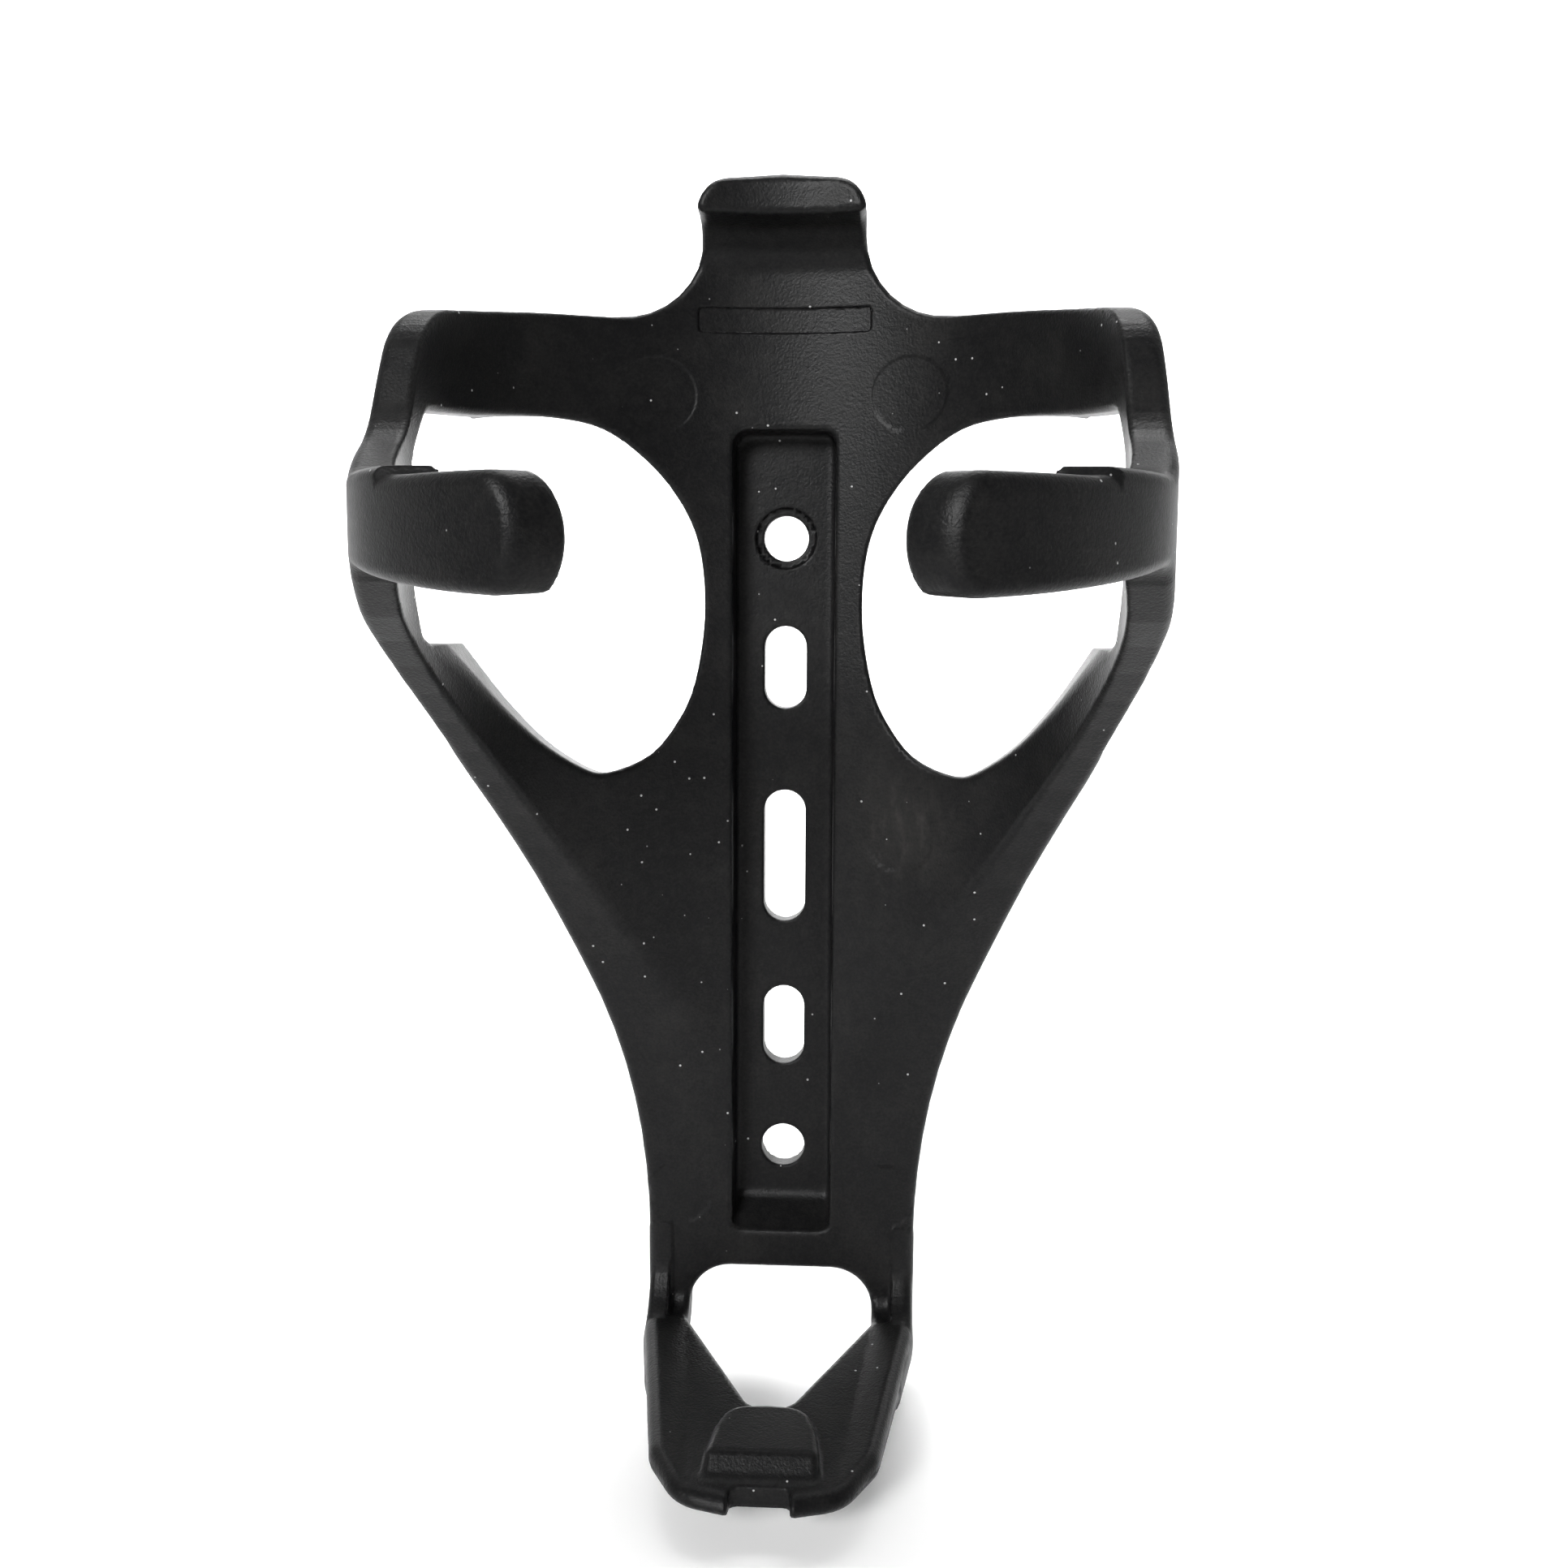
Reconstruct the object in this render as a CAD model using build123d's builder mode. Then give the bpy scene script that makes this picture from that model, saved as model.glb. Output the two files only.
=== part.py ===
from build123d import *
from math import sqrt
import os

# Water bottle cage, one nylon moulding, modelled as its named members.
# +X is to the right seen from the bottle side, +Y points at the bicycle frame, +Z is up.
# The origin is midway between the two main bolt holes, on the face that meets the frame.

# driving dimensions, millimetres
bottle_diameter = 73.5            # bore that holds a standard 73 to 74 mm bottle
wall = 4.6                        # thickness of the curved sheet and of the fingers
floor_thickness = 3.0             # seat of the bolt channel
channel_depth = 4.75              # from the bottle surface down to the seat
channel_half_width = 6.4
channel_wall = 2.6
channel_top = 45.2
channel_bottom = -59.0
ramp_height = 3.6                 # sloping lower end of the channel
bolt_spacing = 64.0               # standard spacing of bottle cage bosses
bolt_hole_radius = 3.0
bolt_sink_radius = 3.85
bolt_sink_depth = 0.5
slot_width = 5.8
bolt_slot_length = 11.0
middle_slot_length = 17.8
middle_slot_height = -9.2
lower_hole_height = -48.5         # the second bolt pair is the same, 16.5 mm lower
arm_top = 58.5
arm_corner = (-38.6, 55.0)        # y, z of the upper front corner of each side loop
arm_waist = (-44.6, 42.0)         # y, z where the loop's front edge turns into the finger
finger_root_top = (-56.0, 36.5)
finger_front_top = (-86.0, 35.7)
finger_front_bottom = (-86.0, 25.3)
finger_root_bottom = (-56.0, 26.8)
finger_split = -57.0              # y of the line where a finger leaves its loop
finger_tip_x = 18.6               # centre of the rounded finger end
finger_tip_z = 30.6
finger_tip_radius = 5.2
sweep_start = -46.0               # height where the flat back starts to sweep forward
sweep_radius = 78.0
sweep_angle = 62.0
band_angle = 41.8                 # the lower struts stay a flat band up to this part of the sweep
outline_half_width = 17.4         # half width of the plate above the foot
outline_start = -60.0
outline_radius = 95.0
outline_angle = 23.5
loop_split = 19.5                 # half width of the stiff back, the side loops start here
loop_bottom = -22.0
web_top = 12.0                    # heights where the members of the sheet are named apart
strut_top = 20.0
strap_top = 44.5
window_overlap = 36.0             # how far out the back view of the window reaches
side_window_back = -24.0          # y where the side view of the window takes over
neck_half_width = 9.8
neck_flare = 9.5
neck_flare_height = 68.0
tab_split = 63.5
tab_top = 74.7
tab_front = -15.3
hook_depth = 6.2                  # the hook's hollow rises this much from neck to nose
nose_radius = 2.2
shoulder_radius = 4.0
shelf_slope = 0.086               # the shelf falls this much for each millimetre forward
shelf_height = -69.4              # top of the shelf at the back plate
shelf_thickness = 3.9
shelf_front = -48.6
shelf_taper_start = -13.0         # y where the sides of the shelf start to close in
shelf_corner = (12.9, -39.5)      # x, y where the straight side of the shelf ends
shelf_nose = (9.0, -45.8)         # x, y of a point on its rounded front
shelf_split = -33.0
heel_radius = 6.0
foot_split = -62.0
notch_half_width = 3.4
notch_back = -45.2
pad_half_width = 6.0
pad_back = -31.8
pad_height = 2.0
window_top = -63.3                # upper edge of the shelf window on the back plate
heel_window_width = 24.2          # upper part of the shelf window, on the back plate
heel_window_height = 14.0
heel_window_radius = 5.5
heel_window_depth = 10.0
shelf_window_tip = -31.6          # y where the shelf window closes
shelf_window_sides = -10.0        # y where its sides start to close in
shelf_window_back = -8.0          # behind this y the heel window takes over
pad_arch = 5.0                    # rise of the pad's rounded back edge
pad_seat = 1.0                    # the pad reaches this far into the shelf's height
foot_depth = 16.0

bore_radius = bottle_diameter / 2
outer_radius = bore_radius + wall
rim_y = -(floor_thickness + channel_depth)
axis_y = rim_y - bore_radius
back_y = rim_y + wall
reach = outer_radius + 2
os.makedirs("parts", exist_ok=True)


def save(piece, name):
    piece.label = name
    export_step(piece, "parts/" + name + ".step")


def mirrored(piece):
    with BuildPart() as twin:
        mirror(piece, about=Plane.YZ)
    return twin.part


def portion(source, low, high):
    # the part of the moulding that lies inside one box
    with BuildPart() as piece:
        add(source)
        with Locations(tuple((a + b) / 2 for a, b in zip(low, high))):
            Box(*(b - a for a, b in zip(low, high)), mode=Mode.INTERSECT)
    return piece.part


# the front line of the loops seen from the side: everything behind it may be solid
with BuildSketch(Plane.YZ.offset(-reach)) as side_profile:
    with BuildLine():
        back = Polyline((reach, arm_top), (reach, foot_split), (rim_y, foot_split), (rim_y, sweep_start))
        sweep = JernArc(start=back @ 1, tangent=(0, 1), radius=sweep_radius, arc_size=sweep_angle)
        FilletPolyline(
            sweep @ 1,
            finger_root_bottom,
            finger_front_bottom,
            finger_front_top,
            finger_root_top,
            arm_waist,
            arm_corner,
            (axis_y + sqrt(bore_radius**2 - loop_split**2), arm_top),
            (reach, arm_top),
            radius=[5.0, 0.5, 0.5, 9.0, 9.0, 7.0, 3.0],
        )
    make_face()

# the band behind the front line that gives the lower struts and the back plate their thickness
with BuildSketch(Plane.YZ.offset(-reach)) as strut_band:
    with BuildLine():
        front = Polyline((rim_y, foot_split), (rim_y, sweep_start))
        front_sweep = JernArc(start=front @ 1, tangent=(0, 1), radius=sweep_radius, arc_size=band_angle)
        top = Line(front_sweep @ 1, front_sweep @ 1 + Vector(wall, 0))
        rear_sweep = JernArc(
            start=(back_y, sweep_start), tangent=(0, 1), radius=sweep_radius, arc_size=band_angle
        )
        Polyline(rear_sweep @ 0, (back_y, foot_split), (rim_y, foot_split))
    make_face()

# what lies outside the front outline of the right strut and back plate, seen along Y
with BuildSketch(Plane.XZ.offset(-reach)) as beside_outline:
    with BuildLine():
        edge = Line((outline_half_width, foot_split), (outline_half_width, outline_start))
        flare = JernArc(start=edge @ 1, tangent=(0, 1), radius=outline_radius, arc_size=-outline_angle)
        rise = Line(flare @ 1, flare @ 1 + flare % 1 * reach)
        Polyline(rise @ 1, (2 * reach, (rise @ 1).Y), (2 * reach, foot_split), edge @ 0)
    make_face()
    mirror(about=Plane.YZ)

# one egg shaped window, in two views: along Y for the back and along X for the side
with BuildSketch(Plane.XZ) as window_back:
    with BuildLine():
        FilletPolyline(
            (window_overlap, 45.2),
            (15.4, 46.1),
            (10.1, 34.0),
            (10.0, 16.0),
            (16.0, 3.4),
            (23.0, 2.6),
            (window_overlap, 18.4),
            radius=[12.0, 22.0, 24.0, 7.5, 5.0],
        )
        Line((window_overlap, 18.4), (window_overlap, 45.2))
    make_face()

with BuildSketch(Plane.YZ.offset(-reach)) as window_side:
    with BuildLine():
        FilletPolyline(
            (side_window_back, 45.2),
            (-38.6, 44.6),
            (-43.6, 38.5),
            (-43.6, 26.5),
            (-41.0, 20.8),
            (-36.6, 19.8),
            (side_window_back, 10.8),
            radius=[2.5, 9.0, 9.0, 2.0, 1.5],
        )
        Line((side_window_back, 10.8), (side_window_back, 45.2))
    make_face()

# the gap between the two finger tips
with BuildSketch(Plane.XZ.offset(-axis_y)) as finger_gap:
    with Locations((0, finger_tip_z)):
        Rectangle(2 * finger_tip_x, 4 * finger_tip_radius)
    with Locations((finger_tip_x, finger_tip_z), (-finger_tip_x, finger_tip_z)):
        Circle(finger_tip_radius, mode=Mode.SUBTRACT)

# the whole curved sheet, from the plate above the foot up to the top of the arms
with BuildPart() as sheet:
    with BuildSketch(Plane.YZ.offset(-reach)):
        add(side_profile.sketch_local)
    extrude(amount=2 * reach)
    with BuildSketch(Plane.XY.offset(foot_split)):
        with Locations((0, axis_y)):
            Circle(outer_radius)
    extrude(amount=arm_top - foot_split, mode=Mode.INTERSECT)
    with BuildSketch(Plane.YZ.offset(-reach)):
        add(strut_band.sketch_local)
    extrude(amount=2 * reach)
    with BuildSketch(Plane.XY.offset(foot_split)):
        with Locations((0, axis_y)):
            Circle(bore_radius)
    extrude(amount=arm_top - foot_split, mode=Mode.SUBTRACT)
    with BuildSketch(Plane.XZ.offset(-reach)):
        add(beside_outline.sketch_local)
    extrude(amount=3 * reach, mode=Mode.SUBTRACT)
    with BuildSketch(Plane.XZ):
        add(window_back.sketch_local)
        mirror(about=Plane.YZ)
    extrude(amount=window_overlap + 2, mode=Mode.SUBTRACT)
    with BuildSketch(Plane.YZ.offset(-reach)):
        add(window_side.sketch_local)
    extrude(amount=2 * reach, mode=Mode.SUBTRACT)
    with BuildSketch(Plane.XZ.offset(-axis_y)):
        add(finger_gap.sketch_local)
    extrude(amount=reach, mode=Mode.SUBTRACT)

# the stiff back: a bolt channel, the crown above it and the plates beside it
channel_outer = channel_half_width + channel_wall
tray_bottom = channel_bottom - channel_wall
tray_top = channel_top + channel_wall

with BuildPart() as back_sheet:
    add(sheet.part)
    with BuildSketch(Plane.XZ):
        with Locations((0, (tray_top + tray_bottom) / 2)):
            Rectangle(2 * channel_outer, tray_top - tray_bottom)
    extrude(amount=-rim_y + wall, mode=Mode.SUBTRACT)

with BuildPart() as mounting_floor:
    with BuildSketch(Plane.XZ):
        with Locations((0, (tray_top + tray_bottom) / 2)):
            RectangleRounded(2 * channel_outer, tray_top - tray_bottom, channel_wall)
    extrude(amount=floor_thickness)
    with Locations(Plane.XZ.offset(floor_thickness)):
        with Locations((0, bolt_spacing / 2)):
            CounterBoreHole(bolt_hole_radius, bolt_sink_radius, bolt_sink_depth)
        with Locations((0, lower_hole_height)):
            Hole(bolt_hole_radius)
    with BuildSketch(Plane.XZ):
        with Locations((0, -bolt_spacing / 2), (0, lower_hole_height + bolt_spacing)):
            SlotOverall(bolt_slot_length, slot_width, rotation=90)
        with Locations((0, middle_slot_height)):
            SlotOverall(middle_slot_length, slot_width, rotation=90)
    extrude(amount=floor_thickness, mode=Mode.SUBTRACT)

# channel sides and ends stand on the floor and finish flush with the bottle surface
with BuildPart() as channel_rim:
    with BuildSketch(Plane.XZ.offset(floor_thickness)):
        with Locations((0, (tray_top + tray_bottom) / 2)):
            Rectangle(2 * channel_outer, tray_top - tray_bottom)
        with Locations((0, (channel_top + channel_bottom) / 2)):
            Rectangle(2 * channel_half_width, channel_top - channel_bottom, mode=Mode.SUBTRACT)
    extrude(amount=2 * channel_depth)
    with BuildSketch(Plane.XY.offset(tray_bottom)):
        with Locations((0, axis_y)):
            Circle(bore_radius)
    extrude(amount=tray_top - tray_bottom, mode=Mode.SUBTRACT)
    with BuildSketch(Plane.YZ):
        with Locations((rim_y - channel_depth, tray_bottom)):
            Rectangle(2 * channel_depth, sweep_start - tray_bottom, align=(Align.CENTER, Align.MIN))
    extrude(amount=channel_outer, both=True, mode=Mode.SUBTRACT)

with BuildPart() as channel_ramp:
    with BuildSketch(Plane.YZ.offset(-channel_half_width)):
        with BuildLine():
            Polyline(
                (-floor_thickness, channel_bottom),
                (rim_y, channel_bottom),
                (-floor_thickness, channel_bottom + ramp_height),
                close=True,
            )
        make_face()
    extrude(amount=2 * channel_half_width)

low, high = axis_y - reach, reach
channel_side = portion(channel_rim.part, (low, low, channel_bottom), (-channel_half_width, high, channel_top))
save(mounting_floor.part, "mounting_floor")
save(channel_side, "channel_wall_left")
save(mirrored(channel_side), "channel_wall_right")
save(portion(channel_rim.part, (low, low, channel_top), (high, high, tray_top)), "channel_wall_top")
save(portion(channel_rim.part, (low, low, tray_bottom), (high, high, channel_bottom)), "channel_wall_bottom")
save(channel_ramp.part, "channel_ramp")

# the sheet splits where its members would be named apart
save(portion(back_sheet.part, (-loop_split, low, channel_top), (loop_split, high, arm_top)), "crown_plate")
members = {
    "spine_flank": ((-loop_split, -loop_split, web_top), (0, high, channel_top)),
    "spine_web": ((-loop_split, -loop_split, loop_bottom), (0, high, web_top)),
    "lower_plate": ((low, low, foot_split), (0, high, loop_bottom)),
    "lower_strut": ((low, finger_split, loop_bottom), (-loop_split, high, strut_top)),
    "side_strap": ((low, finger_split, strut_top), (-loop_split, high, strap_top)),
    "upper_arm": ((low, finger_split, strap_top), (-loop_split, high, arm_top)),
    "finger": ((low, low, strut_top), (0, finger_split, strap_top)),
}
for name, box in members.items():
    left_member = portion(back_sheet.part, *box)
    save(left_member, name + "_left")
    save(mirrored(left_member), name + "_right")

# neck and retention tab continue the sheet upward
with BuildPart() as mast:
    with BuildSketch(Plane.XY.offset(arm_top)):
        with Locations((0, axis_y)):
            Circle(outer_radius)
            Circle(bore_radius, mode=Mode.SUBTRACT)
    extrude(amount=tab_top - arm_top)
    with BuildSketch(Plane.YZ.offset(-neck_half_width)):
        with BuildLine():
            under = Polyline((back_y, tab_split), (rim_y, tab_split), (rim_y, tab_split + 1.5))
            hook = ThreePointArc(under @ 1, (rim_y - 2.0, tab_split + 4.8), (tab_front, tab_split + hook_depth))
            nose = Line(hook @ 1, (tab_front, tab_top - nose_radius))
            crest = RadiusArc(nose @ 1, (tab_front + nose_radius, tab_top), nose_radius)
            top_edge = Line(crest @ 1, (back_y - shoulder_radius, tab_top))
            shoulder = RadiusArc(top_edge @ 1, (back_y, tab_top - shoulder_radius), shoulder_radius)
            Line(shoulder @ 1, under @ 0)
        make_face()
    extrude(amount=2 * neck_half_width)
    with BuildSketch(Plane.XZ):
        with BuildLine():
            left_side = Line((-neck_half_width, tab_top), (-neck_half_width, neck_flare_height))
            left_flare = RadiusArc(
                left_side @ 1, (-neck_half_width - neck_flare, neck_flare_height - neck_flare), neck_flare
            )
            foot_line = Line(left_flare @ 1, (neck_half_width + neck_flare, neck_flare_height - neck_flare))
            right_flare = RadiusArc(foot_line @ 1, (neck_half_width, neck_flare_height), neck_flare)
            Polyline(right_flare @ 1, (neck_half_width, tab_top), left_side @ 0)
        make_face()
    extrude(amount=reach, mode=Mode.INTERSECT)

save(portion(mast.part, (low, low, arm_top), (high, high, tab_split)), "neck")
save(portion(mast.part, (low, low, tab_split), (high, high, tab_top)), "retention_tab")

# foot: the back plate bends forward into a shelf with a three sided window
shelf_front_height = shelf_height + shelf_slope * (shelf_front - rim_y)
with BuildPart() as foot:
    with BuildSketch(Plane.YZ):
        with BuildLine():
            FilletPolyline(
                (back_y, foot_split),
                (back_y, shelf_height - shelf_thickness),
                (shelf_front, shelf_front_height - shelf_thickness),
                (shelf_front, shelf_front_height),
                (rim_y, shelf_height),
                (rim_y, foot_split),
                radius=[heel_radius, 1.0, 1.5, 2.5],
            )
            Line((rim_y, foot_split), (back_y, foot_split))
        make_face()
    extrude(amount=outline_half_width, both=True)
    with BuildSketch(Plane.XY.offset(foot_split)):
        with BuildLine():
            side = Line((outline_half_width, 0), (outline_half_width, shelf_taper_start))
            taper = Line(side @ 1, shelf_corner)
            nose = ThreePointArc(taper @ 1, shelf_nose, (0, shelf_front))
            Polyline(nose @ 1, (0, 0), side @ 0)
        make_face()
        mirror(about=Plane.YZ)
    extrude(amount=-foot_depth, mode=Mode.INTERSECT)
    with BuildSketch(Plane.XY.offset(foot_split)):
        with BuildLine():
            FilletPolyline(
                (heel_window_width / 2, shelf_window_back),
                (heel_window_width / 2, shelf_window_sides),
                (1.0, shelf_window_tip),
                (-1.0, shelf_window_tip),
                (-heel_window_width / 2, shelf_window_sides),
                (-heel_window_width / 2, shelf_window_back),
                radius=[1.5, 1.0, 1.0, 1.5],
            )
            Line((-heel_window_width / 2, shelf_window_back), (heel_window_width / 2, shelf_window_back))
        make_face()
    extrude(amount=-foot_depth, mode=Mode.SUBTRACT)
    with BuildSketch(Plane.XY.offset(foot_split)):
        with Locations((0, notch_back)):
            Rectangle(2 * notch_half_width, -notch_back, align=(Align.CENTER, Align.MAX))
    extrude(amount=-foot_depth, mode=Mode.SUBTRACT)

with BuildPart() as back_window:
    with BuildSketch(Plane.XZ):
        with Locations((0, window_top)):
            RectangleRounded(
                heel_window_width,
                heel_window_height,
                heel_window_radius,
                align=(Align.CENTER, Align.MAX),
            )
    extrude(amount=heel_window_depth)

with BuildPart() as open_foot:
    add(foot.part)
    add(back_window.part, mode=Mode.SUBTRACT)

# raised pad that stops the bottle, seated on the shelf behind the notch
with BuildPart() as stop_pad:
    with BuildSketch(Plane.XY.offset(shelf_front_height - pad_seat)):
        with BuildLine():
            left = Line((-pad_half_width, notch_back), (-pad_half_width, pad_back - pad_arch))
            arch = ThreePointArc(left @ 1, (0, pad_back), (pad_half_width, pad_back - pad_arch))
            Polyline(arch @ 1, (pad_half_width, notch_back), left @ 0)
        make_face()
    extrude(amount=pad_seat + shelf_slope * (pad_back - shelf_front) + pad_height)
    add(open_foot.part, mode=Mode.SUBTRACT)

foot_bottom = shelf_front_height - foot_depth
shelf_side = portion(open_foot.part, (low, shelf_split, foot_bottom), (0, high, foot_split))
save(shelf_side, "shelf_side_left")
save(mirrored(shelf_side), "shelf_side_right")
save(portion(open_foot.part, (low, low, foot_bottom), (high, shelf_split, foot_split)), "shelf_front")
save(stop_pad.part, "stop_pad")
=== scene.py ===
import bpy
import math
import numpy as np
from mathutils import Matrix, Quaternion, Vector


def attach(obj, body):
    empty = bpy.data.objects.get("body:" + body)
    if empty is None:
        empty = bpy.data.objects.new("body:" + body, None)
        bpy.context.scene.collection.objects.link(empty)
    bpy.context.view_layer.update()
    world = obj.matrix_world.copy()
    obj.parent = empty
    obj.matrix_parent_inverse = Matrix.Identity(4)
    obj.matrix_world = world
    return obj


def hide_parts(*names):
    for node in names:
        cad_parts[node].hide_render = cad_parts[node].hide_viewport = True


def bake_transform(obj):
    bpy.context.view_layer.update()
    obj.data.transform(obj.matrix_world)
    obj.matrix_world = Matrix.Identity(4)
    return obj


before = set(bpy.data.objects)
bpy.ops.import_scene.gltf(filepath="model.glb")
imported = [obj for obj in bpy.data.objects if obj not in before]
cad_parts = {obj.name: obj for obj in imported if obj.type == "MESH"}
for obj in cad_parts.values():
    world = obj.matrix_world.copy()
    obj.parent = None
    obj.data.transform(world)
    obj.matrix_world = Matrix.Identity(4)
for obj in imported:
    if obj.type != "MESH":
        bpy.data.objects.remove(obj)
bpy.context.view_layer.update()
mm = 0.001

# the camera stands a little above the middle of the cage and looks slightly down and to the left
camera = {
    "place": (0.0118, -0.21285, 0.0274),
    "turn": 3.25,            # degrees to the left of straight ahead
    "dip": 7.345,            # degrees downward
    "roll": 0.3,             # degrees anticlockwise
    "lens": 37.27, "sensor": 36.0,
    "near": 0.01, "far": 20.0,
}


def addCamera():
    made = bpy.data.objects.new("camera", bpy.data.cameras.new("camera"))
    bpy.context.scene.collection.objects.link(made)
    turn, dip = math.radians(camera["turn"]), math.radians(camera["dip"])
    ahead = Vector((-math.sin(turn) * math.cos(dip), math.cos(turn) * math.cos(dip), -math.sin(dip)))
    made.location = camera["place"]
    made.rotation_mode = "QUATERNION"
    roll = Quaternion((0, 0, 1), math.radians(camera["roll"]))
    made.rotation_quaternion = ahead.to_track_quat("-Z", "Y") @ roll
    made.data.lens = camera["lens"]
    made.data.sensor_width = camera["sensor"]
    made.data.clip_start = camera["near"]
    made.data.clip_end = camera["far"]
    bpy.context.scene.camera = made


addCamera()
print("camera placed")

# shapes are in millimetres
# a shape is a distance: negative inside the nylon, positive outside, so edges round off evenly


def cornerPath(corners):
    # closed outline from (u, v, corner radius)
    path = []
    count = len(corners)
    for i in range(count):
        u, v, radius = corners[i]
        here = np.array((u, v), float)
        before = np.array(corners[i - 1][:2], float) - here
        after = np.array(corners[(i + 1) % count][:2], float) - here
        if radius <= 0:
            path.append(here)
            continue
        before /= np.linalg.norm(before)
        after /= np.linalg.norm(after)
        half = math.acos(np.clip(before @ after, -1, 1)) / 2
        middle = before + after
        centre = here + middle / np.linalg.norm(middle) * radius / math.sin(half)
        first = here + before * radius / math.tan(half) - centre
        last = here + after * radius / math.tan(half) - centre
        start = math.atan2(first[1], first[0])
        sweep = (math.atan2(last[1], last[0]) - start + math.pi) % (2 * math.pi) - math.pi
        steps = max(3, int(abs(sweep) / math.radians(7)))
        for step in range(steps + 1):
            angle = start + sweep * step / steps
            path.append(centre + radius * np.array((math.cos(angle), math.sin(angle))))
    return np.array(path)


def smoothPath(stations, parts=4):
    # open run of points joined by a smooth curve, closed by a straight line
    stations = np.array(stations, float)
    ends = np.vstack([2 * stations[0] - stations[1], stations, 2 * stations[-1] - stations[-2]])
    path = []
    for i in range(len(stations) - 1):
        a, b, c, d = ends[i:i + 4]
        for k in range(parts):
            t = k / parts
            curve = 2 * b + (c - a) * t
            curve = curve + (2 * a - 5 * b + 4 * c - d) * t * t + (3 * b - a - 3 * c + d) * t ** 3
            path.append(0.5 * curve)
    path.append(stations[-1])
    return np.array(path)


def fromOutline(path, u, v):
    # signed distance to a closed outline
    u, v = np.broadcast_arrays(u, v)
    nearest = np.full(u.shape, 1e9)
    inside = np.zeros(u.shape, bool)
    for start, end in zip(path, np.roll(path, -1, axis=0)):
        eu, ev = end - start
        length = eu * eu + ev * ev
        if length < 1e-12:
            continue
        wu, wv = u - start[0], v - start[1]
        along = np.clip((wu * eu + wv * ev) / length, 0, 1)
        nearest = np.minimum(nearest, (wu - along * eu) ** 2 + (wv - along * ev) ** 2)
        if ev:
            inside ^= ((start[1] > v) != (end[1] > v)) & (wu < eu * wv / ev)
    return np.sqrt(nearest) * np.where(inside, -1, 1)


def cutTo(a, b, radius):
    # keeps what is in both, with a rounded outer edge
    return np.minimum(-radius, np.maximum(a, b)) + np.sqrt(
        np.maximum(a + radius, 0) ** 2 + np.maximum(b + radius, 0) ** 2
    )


def join(a, b, radius):
    # keeps what is in either, with a rounded inner corner
    return -cutTo(-a, -b, radius)


def fade(value, start, end):
    t = np.clip((value - start) / (end - start), 0, 1)
    return t * t * (3 - 2 * t)


farAway = 200.0      # a distance that switches a cut off
bottle = {"radius": 36.75, "axis": -44.5}
sheet = {
    "wall": 4.6,
    "sweepStart": -46.0, "sweepRadius": 78.0, "sweepAngle": 62.0,
    "bandTop": 6.0,          # the flat strut band ends here and the round loop takes over
    "outlineHalf": 17.5, "outlineStart": -60.0, "outlineRadius": 95.0, "outlineAngle": 23.0,
    "edge": 1.1, "crease": 0.5, "bandEdge": 3.0,
    "frontEdge": 1.2, "armEdge": 0.8, "armEdgeFrom": 42.0, "armEdgeFull": 58.0,
}
rimPlane = bottle["axis"] + bottle["radius"]


def sweepPath(stepCount=16):
    points = [(rimPlane, -100.0)]
    for i in range(stepCount + 1):
        angle = math.radians(sheet["sweepAngle"]) * i / stepCount
        points.append((
            rimPlane - sheet["sweepRadius"] * (1 - math.cos(angle)),
            sheet["sweepStart"] + sheet["sweepRadius"] * math.sin(angle),
        ))
    return points


sweep = sweepPath()
sweepEnd = sweep[-1]
# past the sweep the front edge runs on straight
frontAngle = math.radians(sheet["sweepAngle"])
frontEnd = (sweepEnd[0] - 60 * math.sin(frontAngle), sweepEnd[1] + 60 * math.cos(frontAngle))
frontLine = np.array(sweep + [frontEnd, (-110, 120), (60, 120), (60, -100)])
sideLine = np.concatenate([
    np.array(sweep),
    cornerPath([
        (-56.0, 28.4, 5.0),
        (-90.0, 24.1, 0),
        (-90.0, 36.7, 0),
        (-56.0, 36.9, 9.0),
        (-44.6, 42.0, 9.0),
        (-38.2, 55.2, 9.0),
        (-13.35, 58.5, 0),
        (-13.35, 90.0, 0),
        (60.0, 90.0, 0),
        (60.0, -100.0, 0),
    ]),
])


def outlinePath():
    points = [(-20.0, -100.0), (sheet["outlineHalf"], -100.0)]
    for i in range(9):
        angle = math.radians(sheet["outlineAngle"]) * i / 8
        points.append((
            sheet["outlineHalf"] + sheet["outlineRadius"] * (1 - math.cos(angle)),
            sheet["outlineStart"] + sheet["outlineRadius"] * math.sin(angle),
        ))
    points += [(30.5, -9.5), (36.2, 3.5), (38.5, 9.7), (40.4, 15.5), (42.0, 22.0), (43.5, 30.0)]
    return np.array(points + [(60.0, 120.0), (-20.0, 120.0)])


outline = outlinePath()
crown = {
    "top": 58.5, "neckHalf": 9.9, "flare": 10.3, "flareTop": 68.5, "neckEnd": 64.5, "edge": 0.9,
    "lipHalf": 10.0, "lipBottom": 69.8, "lipTop": 73.4, "lipCorner": 4.3, "lipArch": 1.2, "lipEdge": 0.6,
    "barHalf": 10.6, "barHeight": 1.5, "barMiddle": 58.4, "barDepth": 0.35, "barCorner": 0.6, "barEdge": 0.15,
}


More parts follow.
